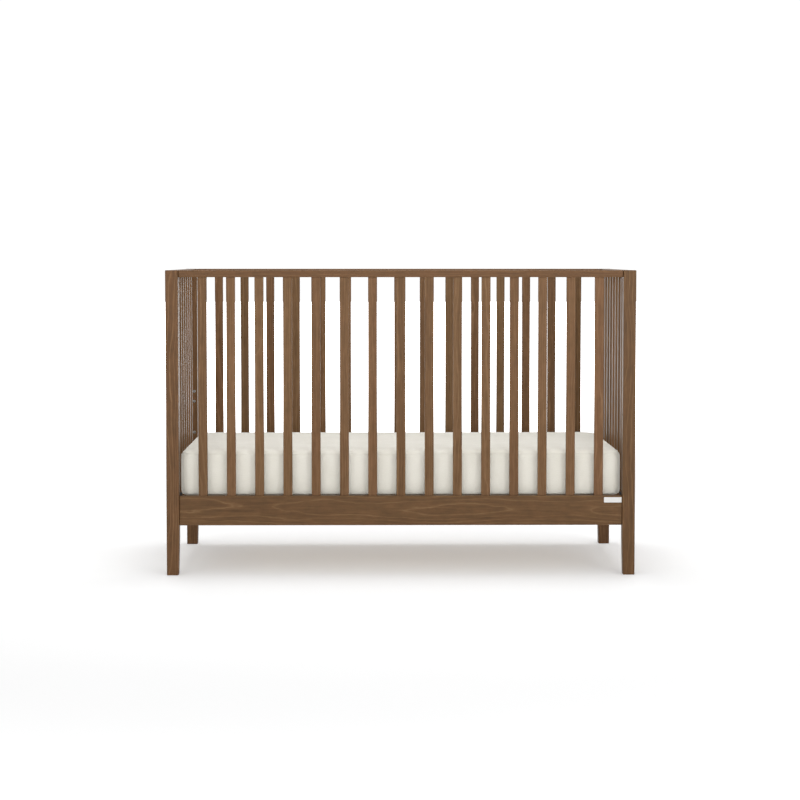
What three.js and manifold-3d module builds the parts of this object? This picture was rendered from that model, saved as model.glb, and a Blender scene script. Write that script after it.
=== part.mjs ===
// Full-size baby crib: four tapered legs, slatted sides and ends bolted and glued between them,
// a height-adjustable slatted mattress support on steel brackets, and a foam mattress.
// Millimetres, +Z up, +X along the length, front at -Y. The origin is the centre of the footprint,
// on the floor.

import * as THREE from 'three';
import { mergeVertices } from 'three/addons/utils/BufferGeometryUtils.js';
import Module from 'manifold-3d';

const wasm = await Module();
wasm.setup();

// Overall sizes.
const innerLength = 1330; // clear length between the left and right legs
const innerWidth = 711; // clear width between the front and back rails
const height = 915; // floor to the top of the legs and rails
const fitGap = 0.3; // space left between two pieces that touch
const cutPast = 1; // how far a cutter runs past the face it opens
const boreEndPlay = 2; // room left past a bolt's tip

// Legs.
const legSize = 38;
const footSize = 35; // width left at the floor, below the taper
const taperHeight = 120;

// Rails and slats.
const railDepth = 24;
const railSetback = 5.5; // from a leg's outer face to the face of a side rail
const topRailHeight = 21;
const railUnderside = 150; // floor to the bottom edge of the lower rails
const sideRailHeight = 89; // lower rail of the front and back
const slatWidth = 27;
const slatThickness = 14;
const slatHousing = 10; // how far a slat runs into its rail
const sideSlats = 15;
const endSlats = 8;

// Panel bolts, with socket heads sunk into the legs.
const boltRadius = 3;
const boltHeadRadius = 6.5;
const boltHeadLength = 5;
const boltSocketRadius = 2.9;
const boltSocketDepth = 3;
const boltRecess = 1; // head face below the leg's face
const boltLength = 70;
const boltSideClearance = 0.8;

// Mattress support.
const deckBelowRail = 3; // top of the deck below the side rails' top, at the lowest height
const supportStep = 136; // rise from one height to the next
const supportLevels = 3;
const boardThickness = 22; // rails of the support frame
const boardHeight = 38;
const deckSlats = 10;
const deckSlatWidth = 60;
const deckSlatThickness = 10;
const deckSlatInset = 3; // from the frame's long faces to the slat ends
const glueDepth = 1; // how far glued boards run into one another
const beamWidth = 40; // beam down the middle, under the slats
const beamHeight = 22;

// Steel brackets that carry the support, two screws to a leg.
const bracketSteel = 3;
const bracketReach = 46; // bearing length under the support
const bracketShelf = 36; // shelf width under the support
const screwSpacing = 33;
const screwInset = 11; // from the leg's inner face to the screws
const upperScrewLift = 2; // upper screw above the support's top
const screwRadius = 3;
const screwEdge = 6; // from a screw's centre to the bracket's lower edge
const tabEdge = 9; // from the upper screw's centre to the bracket's upper edge
const tabStandoff = 4; // from the mattress end to the tab
const bracketRailGap = 4; // from the bracket to the top of the lower end rail
const bracketSideGap = 2; // from the bracket to the inner face of the lower end rail
const insertRadius = 4.5; // threaded insert in the leg
const insertDepth = 13;

// Blind holes for a guard rail, in the two front legs only.
const guardHoleHeight = 482;
const guardHoleRadius = 4;
const guardHoleDepth = 14;

// Mattress.
const mattressThickness = 138;
const mattressLengthPlay = 19; // less than the clear length between the legs
const mattressWidthPlay = 19; // less than the clear width between the side rails
const mattressCorner = 32;
const mattressEdge = 10;

// Blank label plate on the front lower rail.
const labelLength = 53;
const labelHeight = 16;
const labelThickness = 0.8;
const labelFromLeg = 2;
const labelFromTop = 5;

// Places that follow from the sizes above.
const halfLength = innerLength / 2 + legSize;
const halfWidth = innerWidth / 2 + railDepth + railSetback;
const legInnerX = halfLength - legSize;
const legInnerY = halfWidth - legSize;
const sideRailY = innerWidth / 2 + railDepth / 2;
const endRailX = halfLength - legSize / 2;
const topRailUnderside = height - topRailHeight;
const topBoltHeight = height - topRailHeight / 2;
const lowerBoltHeight = railUnderside + sideRailHeight / 2;
const boltSeatX = halfLength - boltRecess - boltHeadLength;
const boltTipX = boltSeatX - boltLength;
const supportTop = railUnderside + sideRailHeight - deckBelowRail;
const supportHalfLength = legInnerX - mattressLengthPlay / 2;
const bracketFaceY = legInnerY - fitGap - bracketSteel;
const supportHalfWidth = bracketFaceY - 2 * fitGap;
const supportUnderside = supportTop - boardHeight;
const upperScrewHeight = supportTop + upperScrewLift;
const lowerScrewHeight = upperScrewHeight - screwSpacing;
const screwX = legInnerX + screwInset;
const bracketFoot = lowerScrewHeight - screwEdge;
const endRailTop = bracketFoot - bracketRailGap;

const corners = [
  { name: 'front_left', x: -1, y: -1 },
  { name: 'front_right', x: 1, y: -1 },
  { name: 'back_left', x: -1, y: 1 },
  { name: 'back_right', x: 1, y: 1 },
];
const sides = [
  { name: 'front', y: -1 },
  { name: 'back', y: 1 },
];
const ends = [
  { name: 'left', x: -1 },
  { name: 'right', x: 1 },
];

const walnut = new THREE.MeshStandardMaterial({ color: 0x7a5a3e, roughness: 0.55, metalness: 0 });
const beech = new THREE.MeshStandardMaterial({ color: 0xcfae82, roughness: 0.6, metalness: 0 });
const zinc = new THREE.MeshStandardMaterial({ color: 0xb4b6b8, roughness: 0.35, metalness: 1 });
const blackSteel = new THREE.MeshStandardMaterial({ color: 0x2c2c2e, roughness: 0.5, metalness: 0.6 });
const cotton = new THREE.MeshStandardMaterial({ color: 0xe0dccf, roughness: 0.9, metalness: 0 });
const whitePlate = new THREE.MeshStandardMaterial({ color: 0xefefec, roughness: 0.45, metalness: 0 });

// Turns a closed geometry into a solid for the boolean steps.
function solidOf(geometry) {
  const bare = geometry.clone();
  bare.deleteAttribute('normal');
  bare.deleteAttribute('uv');
  const merged = mergeVertices(bare, 1e-4);
  const vertProperties = new Float32Array(merged.attributes.position.array);
  const triVerts = new Uint32Array(merged.index.array);
  return new wasm.Manifold(new wasm.Mesh({ numProp: 3, vertProperties, triVerts }));
}

function geometryOf(solid) {
  const mesh = solid.getMesh();
  const geometry = new THREE.BufferGeometry();
  geometry.setAttribute('position', new THREE.BufferAttribute(mesh.vertProperties, 3));
  geometry.setIndex(new THREE.BufferAttribute(mesh.triVerts, 1));
  geometry.computeVertexNormals();
  return geometry;
}

// A rectangle about the origin, as a THREE.Shape or as the THREE.Path of a hole in one.
function rectangle(Outline, halfX, halfY) {
  return new Outline([
    new THREE.Vector2(-halfX, -halfY),
    new THREE.Vector2(halfX, -halfY),
    new THREE.Vector2(halfX, halfY),
    new THREE.Vector2(-halfX, halfY),
  ]);
}

function box(low, high) {
  const size = [0, 1, 2].map((i) => high[i] - low[i]);
  const middle = [0, 1, 2].map((i) => (high[i] + low[i]) / 2);
  return new THREE.BoxGeometry(...size).translate(...middle);
}

// A rod along X or Y, from one coordinate to the other; centre holds the two that stay.
function rodX(radius, fromX, toX, y, z, facets = 16) {
  const rod = new THREE.CylinderGeometry(radius, radius, toX - fromX, facets);
  return rod.rotateZ(Math.PI / 2).translate((fromX + toX) / 2, y, z);
}

function rodY(radius, fromY, toY, x, z, facets = 12) {
  const rod = new THREE.CylinderGeometry(radius, radius, toY - fromY, facets);
  return rod.translate(x, (fromY + toY) / 2, z);
}

// Extrudes an outline drawn in (X, Z) along Y, or one drawn in (Y, Z) along X.
function extrudeY(points, fromY, toY) {
  const outline = new THREE.Shape(points.map(([x, z]) => new THREE.Vector2(x, z)));
  const geometry = new THREE.ExtrudeGeometry(outline, { depth: toY - fromY, bevelEnabled: false });
  return geometry.rotateX(Math.PI / 2).translate(0, toY, 0);
}

function extrudeX(points, fromX, toX) {
  const outline = new THREE.Shape(points.map(([y, z]) => new THREE.Vector2(y, z)));
  const geometry = new THREE.ExtrudeGeometry(outline, { depth: toX - fromX, bevelEnabled: false });
  const yzx = new THREE.Matrix4().makeBasis(
    new THREE.Vector3(0, 1, 0),
    new THREE.Vector3(0, 0, 1),
    new THREE.Vector3(1, 0, 0),
  );
  return geometry.applyMatrix4(yzx).translate(fromX, 0, 0);
}

// Cuts every tool out of a body, or joins every part into one.
function cut(body, tools) {
  return geometryOf(tools.reduce((left, tool) => left.subtract(solidOf(tool)), solidOf(body)));
}

function join(parts) {
  return geometryOf(parts.slice(1).reduce((sum, part) => sum.add(solidOf(part)), solidOf(parts[0])));
}

// Moves a piece drawn at the right back corner to another corner; one mirror turns the faces over.
function atCorner(geometry, corner) {
  const placed = geometry.scale(corner.x, corner.y, 1);
  if (corner.x * corner.y < 0) {
    placed.index.array.reverse();
  }
  placed.computeVertexNormals();
  return placed;
}

// Outline of a leg seen square on: straight outside, tapered towards the floor inside.
function legOutline(outerFace) {
  return [
    [outerFace, 0],
    [outerFace, height],
    [outerFace - legSize, height],
    [outerFace - legSize, taperHeight],
    [outerFace - footSize, 0],
  ];
}

function leg(corner) {
  const acrossX = solidOf(extrudeY(legOutline(halfLength), legInnerY, halfWidth));
  const acrossY = solidOf(extrudeX(legOutline(halfWidth), legInnerX, halfLength));
  const holes = [];
  for (const z of [topBoltHeight, lowerBoltHeight]) {
    const headBore = boltHeadRadius + boltSideClearance;
    holes.push(rodX(headBore, boltSeatX - fitGap, halfLength + cutPast, sideRailY, z));
    holes.push(rodX(boltRadius + fitGap, legInnerX - cutPast, boltSeatX, sideRailY, z));
  }
  for (let level = 0; level < supportLevels; level += 1) {
    for (const z of [lowerScrewHeight, upperScrewHeight]) {
      const rise = z + level * supportStep;
      holes.push(rodY(insertRadius, legInnerY - cutPast, legInnerY + insertDepth, screwX, rise));
    }
  }
  if (corner.y < 0) {
    const depth = legInnerX + guardHoleDepth;
    holes.push(rodX(guardHoleRadius, legInnerX - cutPast, depth, sideRailY, guardHoleHeight, 12));
  }
  return atCorner(cut(geometryOf(acrossX.intersect(acrossY)), holes), corner);
}

// Even places for a row of slats that leaves the same gap between them and at both ends.
function slatPlaces(clearLength, count, width) {
  const pitch = (clearLength + width) / (count + 1);
  return Array.from({ length: count }, (_, i) => (i + 1) * pitch - (clearLength + width) / 2);
}

// Pockets for the slat ends, opening up from the top of a rail or down from its underside.
function slatPockets(places, centre, acrossX, fromZ, toZ) {
  const halfWide = slatWidth / 2 + fitGap;
  const halfThick = slatThickness / 2 + fitGap;
  return places.map((place) => {
    const middle = acrossX ? [place, centre] : [centre, place];
    const half = acrossX ? [halfWide, halfThick] : [halfThick, halfWide];
    const low = [middle[0] - half[0], middle[1] - half[1], fromZ];
    const high = [middle[0] + half[0], middle[1] + half[1], toZ];
    return box(low, high);
  });
}

function sideRail(side, fromZ, toZ, pocketZ, boltZ) {
  const y = side.y * sideRailY;
  const endX = legInnerX - fitGap;
  const body = box([-endX, y - railDepth / 2, fromZ], [endX, y + railDepth / 2, toZ]);
  const places = slatPlaces(innerLength, sideSlats, slatWidth);
  const bore = boltRadius + fitGap;
  const tools = slatPockets(places, y, true, pocketZ[0], pocketZ[1]);
  tools.push(rodX(bore, boltTipX - boreEndPlay, endX + cutPast, y, boltZ));
  tools.push(rodX(bore, -endX - cutPast, -boltTipX + boreEndPlay, y, boltZ));
  return cut(body, tools);
}

function sideSlat(side, x, fromZ, toZ) {
  const y = side.y * sideRailY;
  const low = [x - slatWidth / 2, y - slatThickness / 2, fromZ];
  const high = [x + slatWidth / 2, y + slatThickness / 2, toZ];
  return box(low, high);
}

function endTopRail(end) {
  const x = end.x * endRailX;
  const endY = legInnerY - fitGap;
  const body = box([x - railDepth / 2, -endY, topRailUnderside], [x + railDepth / 2, endY, height]);
  const places = slatPlaces(2 * legInnerY, endSlats, slatWidth);
  const pocketTop = topRailUnderside + slatHousing;
  return cut(body, slatPockets(places, x, false, topRailUnderside - cutPast, pocketTop));
}

// Lower end rail with its glued slats, as one piece.
function endGrille(end) {
  const x = end.x * endRailX;
  const endY = legInnerY - fitGap;
  const slatTop = topRailUnderside + slatHousing - fitGap;
  const rail = box([x - railDepth / 2, -endY, railUnderside], [x + railDepth / 2, endY, endRailTop]);
  const slats = slatPlaces(2 * legInnerY, endSlats, slatWidth).map((y) => {
    const low = [x - slatThickness / 2, y - slatWidth / 2, endRailTop - slatHousing];
    const high = [x + slatThickness / 2, y + slatWidth / 2, slatTop];
    return box(low, high);
  });
  return join([rail, ...slats]);
}

function panelBolt(corner, z) {
  const headEnd = boltSeatX + boltHeadLength;
  const head = rodX(boltHeadRadius, boltSeatX, headEnd, sideRailY, z);
  const shank = rodX(boltRadius, boltTipX, boltSeatX + cutPast, sideRailY, z);
  const socket = rodX(boltSocketRadius, headEnd - boltSocketDepth, headEnd + cutPast, sideRailY, z, 6);
  return atCorner(cut(join([head, shank]), [socket]), corner);
}

// Frame, cross slats over its long rails, and a beam down the middle, glued into one piece.
function mattressSupport() {
  const innerX = supportHalfLength - boardThickness;
  const innerY = supportHalfWidth - boardThickness;
  const frameTop = supportTop - deckSlatThickness;
  const outline = rectangle(THREE.Shape, supportHalfLength, supportHalfWidth);
  outline.holes.push(rectangle(THREE.Path, innerX, innerY));
  const frameHeight = boardHeight - deckSlatThickness + glueDepth;
  const frame = new THREE.ExtrudeGeometry(outline, { depth: frameHeight, bevelEnabled: false });
  frame.translate(0, 0, supportUnderside);
  const slatEnd = supportHalfWidth - deckSlatInset;
  const deck = slatPlaces(2 * supportHalfLength, deckSlats, deckSlatWidth).map((x) => (
    box([x - deckSlatWidth / 2, -slatEnd, frameTop], [x + deckSlatWidth / 2, slatEnd, supportTop])
  ));
  const beamTop = frameTop + glueDepth / 2;
  const beamLow = [-innerX - glueDepth, -beamWidth / 2, beamTop - beamHeight];
  const beam = box(beamLow, [innerX + glueDepth, beamWidth / 2, beamTop]);
  return join([frame, ...deck, beam]);
}

// Plate against the leg with a tab for the upper screw, and a shelf under the support.
function supportBracket(corner) {
  const startX = supportHalfLength - bracketReach;
  const shelfUnderside = supportUnderside - fitGap - bracketSteel;
  const tabX = supportHalfLength + tabStandoff;
  const stepX = endRailX - railDepth / 2 - bracketSideGap; // past it the plate clears the end rail
  const endX = 2 * screwX - tabX;
  const plateTop = supportTop - bracketSteel;
  const tabTop = upperScrewHeight + tabEdge;
  const plate = extrudeY([
    [startX, shelfUnderside],
    [stepX, shelfUnderside],
    [stepX, bracketFoot],
    [endX, bracketFoot],
    [endX, tabTop],
    [tabX, tabTop],
    [tabX, plateTop],
    [startX, plateTop],
  ], bracketFaceY, bracketFaceY + bracketSteel);
  const shelfInnerY = bracketFaceY - bracketShelf;
  const shelf = box(
    [startX, shelfInnerY, shelfUnderside],
    [supportHalfLength, bracketFaceY + bracketSteel, shelfUnderside + bracketSteel],
  );
  const holes = [lowerScrewHeight, upperScrewHeight].map((z) => (
    rodY(screwRadius + fitGap, bracketFaceY - cutPast, legInnerY, screwX, z)
  ));
  return atCorner(cut(join([plate, shelf]), holes), corner);
}

function mattress() {
  const halfX = legInnerX - mattressLengthPlay / 2 - mattressEdge;
  const halfY = innerWidth / 2 - mattressWidthPlay / 2 - mattressEdge;
  const turn = mattressCorner - mattressEdge;
  const outline = new THREE.Shape();
  outline.absarc(halfX - turn, halfY - turn, turn, 0, Math.PI / 2);
  outline.absarc(turn - halfX, halfY - turn, turn, Math.PI / 2, Math.PI);
  outline.absarc(turn - halfX, turn - halfY, turn, Math.PI, 1.5 * Math.PI);
  outline.absarc(halfX - turn, turn - halfY, turn, 1.5 * Math.PI, 2 * Math.PI);
  const geometry = new THREE.ExtrudeGeometry(outline, {
    depth: mattressThickness - 2 * mattressEdge,
    bevelThickness: mattressEdge,
    bevelSize: mattressEdge,
    bevelSegments: 3,
    curveSegments: 4,
  });
  return geometry.translate(0, 0, supportTop + fitGap + mattressEdge);
}

function labelPlate() {
  const faceY = -sideRailY - railDepth / 2 - fitGap;
  const endX = legInnerX - labelFromLeg;
  const topZ = railUnderside + sideRailHeight - labelFromTop;
  const low = [endX - labelLength, faceY - labelThickness, topZ - labelHeight];
  return box(low, [endX, faceY, topZ]);
}

const crib = new THREE.Group();

function place(group, name, geometry, material) {
  const mesh = new THREE.Mesh(geometry, material);
  mesh.name = name;
  group.add(mesh);
}

for (const corner of corners) {
  place(crib, `leg_${corner.name}`, leg(corner), walnut);
  place(crib, `top_bolt_${corner.name}`, panelBolt(corner, topBoltHeight), zinc);
  place(crib, `lower_bolt_${corner.name}`, panelBolt(corner, lowerBoltHeight), zinc);
}

for (const side of sides) {
  const railTop = railUnderside + sideRailHeight;
  const pocketFloor = railTop - slatHousing;
  const pocketRoof = topRailUnderside + slatHousing;
  const upperPockets = [topRailUnderside - cutPast, pocketRoof];
  const lowerPockets = [pocketFloor, railTop + cutPast];
  const topRail = sideRail(side, topRailUnderside, height, upperPockets, topBoltHeight);
  const lowerRail = sideRail(side, railUnderside, railTop, lowerPockets, lowerBoltHeight);
  place(crib, `${side.name}_top_rail`, topRail, walnut);
  place(crib, `${side.name}_lower_rail`, lowerRail, walnut);
  slatPlaces(innerLength, sideSlats, slatWidth).forEach((x, i) => {
    const slat = sideSlat(side, x, pocketFloor + fitGap, pocketRoof - fitGap);
    place(crib, `${side.name}_slat_${i + 1}`, slat, walnut);
  });
}

for (const end of ends) {
  place(crib, `${end.name}_top_rail`, endTopRail(end), walnut);
  place(crib, `${end.name}_grille`, endGrille(end), walnut);
}

place(crib, 'label_plate', labelPlate(), whitePlate);

const support = new THREE.Group();
place(support, 'support_deck', mattressSupport(), beech);
for (const corner of corners) {
  place(support, `support_bracket_${corner.name}`, supportBracket(corner), blackSteel);
}
place(support, 'mattress', mattress(), cotton);
crib.add(support);

export default crib;
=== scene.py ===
# Baby crib in walnut-stained beech with a cream mattress, set up for a studio picture.
# Metres, +Z up, front at -Y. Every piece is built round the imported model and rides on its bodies.

import math
import bmesh
import bpy
import numpy as np
from mathutils.bvhtree import BVHTree
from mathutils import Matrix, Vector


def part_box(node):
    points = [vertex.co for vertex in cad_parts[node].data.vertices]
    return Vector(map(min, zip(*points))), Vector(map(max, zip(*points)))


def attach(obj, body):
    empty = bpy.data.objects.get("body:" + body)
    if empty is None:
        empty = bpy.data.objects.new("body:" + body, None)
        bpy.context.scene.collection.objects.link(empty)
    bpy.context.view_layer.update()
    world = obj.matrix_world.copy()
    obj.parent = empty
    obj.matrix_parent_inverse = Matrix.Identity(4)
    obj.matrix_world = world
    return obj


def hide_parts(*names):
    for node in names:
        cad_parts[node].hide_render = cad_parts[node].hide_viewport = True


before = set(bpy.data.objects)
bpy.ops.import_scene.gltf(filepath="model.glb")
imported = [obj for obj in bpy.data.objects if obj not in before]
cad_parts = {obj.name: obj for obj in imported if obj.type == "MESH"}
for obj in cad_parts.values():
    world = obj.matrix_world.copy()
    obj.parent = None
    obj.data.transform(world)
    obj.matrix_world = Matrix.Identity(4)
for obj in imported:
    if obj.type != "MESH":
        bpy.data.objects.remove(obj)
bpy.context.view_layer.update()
rng = np.random.default_rng(1406)
scene = bpy.context.scene
corners = [("front_left", -1, -1), ("front_right", 1, -1), ("back_left", -1, 1), ("back_right", 1, 1)]


# Mesh helpers

def meshPiece(name, verts, faces):
    mesh = bpy.data.meshes.new(name)
    mesh.from_pydata(np.asarray(verts, float).tolist(), [], [list(map(int, f)) for f in faces])
    mesh.polygons.foreach_set("use_smooth", np.ones(len(mesh.polygons), bool))
    mesh.update()
    piece = bpy.data.objects.new(name, mesh)
    scene.collection.objects.link(piece)
    return piece


def pointsOf(mesh):
    places = np.empty(len(mesh.vertices) * 3, np.float32)
    mesh.vertices.foreach_get("co", places)
    return places.reshape(-1, 3).astype(float)


def ringFaces(rings, points):
    # quads between neighbouring rings; each ring closes on itself
    r = np.arange(rings - 1)[:, None] * points
    c = np.arange(points)[None, :]
    d = (c + 1) % points
    return np.stack([r + c, r + d, r + points + d, r + points + c], axis=-1).reshape(-1, 4).tolist()


def shellFaces(rings, points):
    # the rings' quads and a flat face over each end
    last = (rings - 1) * points
    ends = [list(range(points))[::-1], [last + i for i in range(points)]]
    return ringFaces(rings, points) + ends


def roundedCorners(steps):
    # angles round a rectangle's four quarter circles, and the corner that each belongs to
    turn = np.linspace(0, math.pi / 2, steps)
    angle = (np.arange(4)[:, None] * math.pi / 2 + turn[None, :]).ravel()
    return angle, np.repeat(np.array([(1, 1), (-1, 1), (-1, -1), (1, -1)]), steps, axis=0)


def lathe(profile, around=32, facets=None):
    # turns (along, radius) points round the local X axis; rings past the facets index become
    # six-sided, with radius apothem / cos(angle to the nearest flat's middle)
    angle = np.linspace(0, 2 * math.pi, around, endpoint=False)
    along = np.array([p[0] for p in profile])
    radius = np.array([p[1] for p in profile])[:, None] * np.ones((1, around))
    if facets is not None:
        flat = (angle + math.pi / 6) % (math.pi / 3) - math.pi / 6
        radius[facets] = radius[facets] / np.cos(flat)[None, :]
    verts = np.stack([
        along[:, None] * np.ones((1, around)), radius * np.cos(angle), radius * np.sin(angle),
    ], axis=-1).reshape(-1, 3)
    return verts, shellFaces(len(profile), around)


def joinParts(parts):
    # several (verts, faces) as one
    verts, faces, start = [], [], 0
    for v, f in parts:
        verts.append(v)
        faces += [[start + int(i) for i in face] for face in f]
        start += len(v)
    return np.concatenate(verts), faces


def sharpCorners(piece, degrees=38):
    # edges that turn more than this stay crisp, the rest shade smoothly by face size; a piece
    # whose volume then comes out negative is inside out, and is turned
    work = bmesh.new()
    work.from_mesh(piece.data)
    bmesh.ops.recalc_face_normals(work, faces=work.faces)
    if work.calc_volume(signed=True) < 0:
        bmesh.ops.reverse_faces(work, faces=work.faces)
    for edge in work.edges:
        edge.smooth = len(edge.link_faces) == 2 and edge.calc_face_angle(0) < math.radians(degrees)
    work.to_mesh(piece.data)
    work.free()
    shade = piece.modifiers.new("flats", "WEIGHTED_NORMAL")
    shade.keep_sharp = True


def cutHoles(piece, cutters):
    # takes the joined cutters out of the piece
    tool = meshPiece("hole_cutter", *joinParts(cutters))
    cut = piece.modifiers.new("holes", "BOOLEAN")
    cut.operation = "DIFFERENCE"
    cut.solver = "EXACT"
    cut.object = tool
    evaluated = piece.evaluated_get(bpy.context.evaluated_depsgraph_get())
    drilled = bpy.data.meshes.new_from_object(evaluated)
    piece.modifiers.clear()
    piece.data = drilled
    drilled.name = piece.name
    bpy.data.objects.remove(tool)


def finish(piece, body, material, nodes=()):
    piece.data.materials.clear()
    piece.data.materials.append(material)
    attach(piece, body)
    if nodes:
        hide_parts(*nodes)
    return piece


# Boards: each is a rounded rectangle carried along its grain, with eased ends

def boardGrid(along, centre, half, axis, ease, steps=3):
    # section at each station: centre plus a rectangle whose corners are quarter circles of
    # radius ease; at both ends the section draws in by ease * (1 - sin t) while the station
    # moves ease * (1 - cos t), so the end edges are rounded like the long ones
    t = np.linspace(0, math.pi / 2, steps + 1)
    headIn, headAt = ease * (1 - np.sin(t)), ease * (1 - np.cos(t))
    stations = np.concatenate([along[0] + headAt, along[1:-1], along[-1] - headAt[::-1]])
    draw = np.concatenate([headIn, np.zeros(len(along) - 2), headIn[::-1]])
    middle = np.stack([np.interp(stations, along, centre[:, k]) for k in (0, 1)], axis=1)
    size = np.stack([np.interp(stations, along, half[:, k]) for k in (0, 1)], axis=1) - draw[:, None]
    radius = np.maximum(ease - draw, 0.05 * ease)[:, None]
    angle, quarter = roundedCorners(steps + 1)
    v = middle[:, :1] + quarter[:, 0] * (size[:, :1] - radius) + radius * np.cos(angle)
    w = middle[:, 1:] + quarter[:, 1] * (size[:, 1:] - radius) + radius * np.sin(angle)
    points = np.stack([stations[:, None] * np.ones_like(v), v, w], axis=-1)
    return np.roll(points, axis, axis=-1).reshape(-1, 3), shellFaces(len(stations), len(angle))


def boxBoard(low, high, axis, ease, steps=3):
    low, high = np.array(low, float), np.array(high, float)
    v, w = (axis + 1) % 3, (axis + 2) % 3
    along = np.array([low[axis], low[axis] + 2 * ease, high[axis] - 2 * ease, high[axis]])
    centre = np.tile([(low[v] + high[v]) / 2, (low[w] + high[w]) / 2], (4, 1))
    half = np.tile([(high[v] - low[v]) / 2, (high[w] - low[w]) / 2], (4, 1))
    return boardGrid(along, centre, half, axis, ease, steps)


def grainField(piece, axis, cut):
    # grain space: distance along the log, then the two distances from its pith, which leans a
    # little along the board; how far the pith lies from the face sets flat or quarter sawing
    mesh = piece.data
    places = pointsOf(mesh)
    v, w = (axis + 1) % 3, (axis + 2) % 3
    along = places[:, axis]
    middle = (places.min(0) + places.max(0)) / 2
    near, far = cut["pith"]
    side = rng.choice([-1, 1], 2)
    pith = np.array([rng.uniform(near, far) * side[0], rng.uniform(near, far) * side[1]])
    pith[cut["flatAxis"]] *= cut["flatShare"]
    lean = rng.normal(0, cut["lean"], 2)
    field = np.stack([
        along + rng.uniform(-9, 9),
        places[:, v] - middle[v] + pith[0] + lean[0] * (along - middle[axis]),
        places[:, w] - middle[w] + pith[1] + lean[1] * (along - middle[axis]),
    ], axis=1)
    attribute = mesh.attributes.new("grain", "FLOAT_VECTOR", "POINT")
    attribute.data.foreach_set("vector", field.astype(np.float32).ravel())
    light, warm = rng.normal(cut.get("lift", 0), cut["light"]), rng.normal(0, cut["warm"])
    tone = np.array([light, warm, rng.uniform(0.6, 1.3)])
    shade = mesh.attributes.new("tone", "FLOAT_VECTOR", "POINT")
    shade.data.foreach_set("vector", np.tile(tone, (len(mesh.vertices), 1)).astype(np.float32).ravel())
    edge = mesh.attributes.new("easedEdge", "FLOAT", "POINT")
    edge.data.foreach_set("value", edgeShare(places, cut["ease"]).astype(np.float32))


def edgeShare(places, ease):
    # 1 along the middle of a rounded edge, 0 on the flats: the second smallest of the three
    # distances to the piece's outer faces, against the easing radius
    low, high = places.min(0), places.max(0)
    depth = np.sort(np.minimum(places - low, high - places), axis=1)
    return np.clip(1 - depth[:, 1] / ease, 0, 1)


def board(name, node, body, axis, material, cut, box=None, holes=()):
    low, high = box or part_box(node)
    piece = meshPiece(name, *boxBoard(low, high, axis, cut["ease"]))
    if holes:
        cutHoles(piece, holes)
    sharpCorners(piece)
    grainField(piece, axis, cut)
    return finish(piece, body, material, [node])


def rod(axis, start, end, centre, radius, around=28):
    # a round cutter along an axis, with centre as the two other coordinates in X, Y, Z order
    verts, faces = lathe([(start, radius), (end, radius)], around)
    placed = np.roll(verts, axis, axis=-1)
    others = [k for k in range(3) if k != axis]
    placed[:, others[0]] += centre[0]
    placed[:, others[1]] += centre[1]
    return placed, faces


# Materials

def nodeTree(name):
    material = bpy.data.materials.new(name)
    material.use_nodes = True
    tree = material.node_tree
    shader = tree.nodes["Principled BSDF"]
    return material, tree, shader


def add(tree, kind, **values):
    node = tree.nodes.new(kind)
    for key, value in values.items():
        if key in node.inputs:
            node.inputs[key].default_value = value
        else:
            setattr(node, key, value)
    return node


def calc(tree, operation, a, b=None, c=None, clamp=False):
    node = tree.nodes.new("ShaderNodeMath")
    node.operation = operation
    node.use_clamp = clamp
    for socket, value in zip(node.inputs, (a, b, c)):
        if value is None:
            continue
        if isinstance(value, (int, float)):
            socket.default_value = value
        else:
            tree.links.new(value, socket)
    return node.outputs[0]


def scaled(tree, vector, scale):
    node = tree.nodes.new("ShaderNodeVectorMath")
    node.operation = "MULTIPLY"
    tree.links.new(vector, node.inputs[0])
    node.inputs[1].default_value = scale
    return node.outputs[0]


def noise(tree, vector, scale=1.0, detail=3.0, roughness=0.5, dimensions="3D"):
    node = add(tree, "ShaderNodeTexNoise", noise_dimensions=dimensions)
    node.inputs["Scale"].default_value = scale
    node.inputs["Detail"].default_value = detail
    node.inputs["Roughness"].default_value = roughness
    tree.links.new(vector, node.inputs["W" if dimensions == "1D" else "Vector"])
    return node.outputs["Fac"]


def ramp(tree, factor, stops):
    node = tree.nodes.new("ShaderNodeValToRGB")
    node.color_ramp.interpolation = "LINEAR"
    while len(node.color_ramp.elements) < len(stops):
        node.color_ramp.elements.new(0.5)
    for element, (place, colour) in zip(node.color_ramp.elements, stops):
        element.position = place
        element.color = (*colour, 1)
    tree.links.new(factor, node.inputs["Fac"])
    return node.outputs["Color"]


def mixColour(tree, kind, factor, a, b):
    # Mix node on colours: sockets 6 and 7 are its colour inputs and output 2 its colour result
    node = tree.nodes.new("ShaderNodeMix")
    node.data_type = "RGBA"
    node.blend_type = kind
    first, second, result = node.inputs[6], node.inputs[7], node.outputs[2]
    for socket, value in ((node.inputs[0], factor), (first, a), (second, b)):
        if isinstance(value, (int, float)):
            socket.default_value = value
        elif isinstance(value, tuple):
            socket.default_value = (*value, 1)
        else:
            tree.links.new(value, socket)
    return result


walnutStain = {
    "dark": (0.060, 0.0265, 0.0085),
    "middle": (0.112, 0.0540, 0.0200),
    "light": (0.180, 0.098, 0.045),
    "rough": 0.43,
    "gloss": 0.16,
    "lacquer": 0.05,
    "lacquerRough": 0.25,
    "ringsPerMetre": 190,
    "figure": 1.0,
}
plainBeech = {
    "dark": (0.30, 0.18, 0.09),
    "middle": (0.44, 0.30, 0.165),
    "light": (0.55, 0.40, 0.25),
    "rough": 0.6,
    "gloss": 0.3,
    "lacquer": 0.0,
    "lacquerRough": 0.25,
    "ringsPerMetre": 140,
    "figure": 0.6,
}


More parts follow.
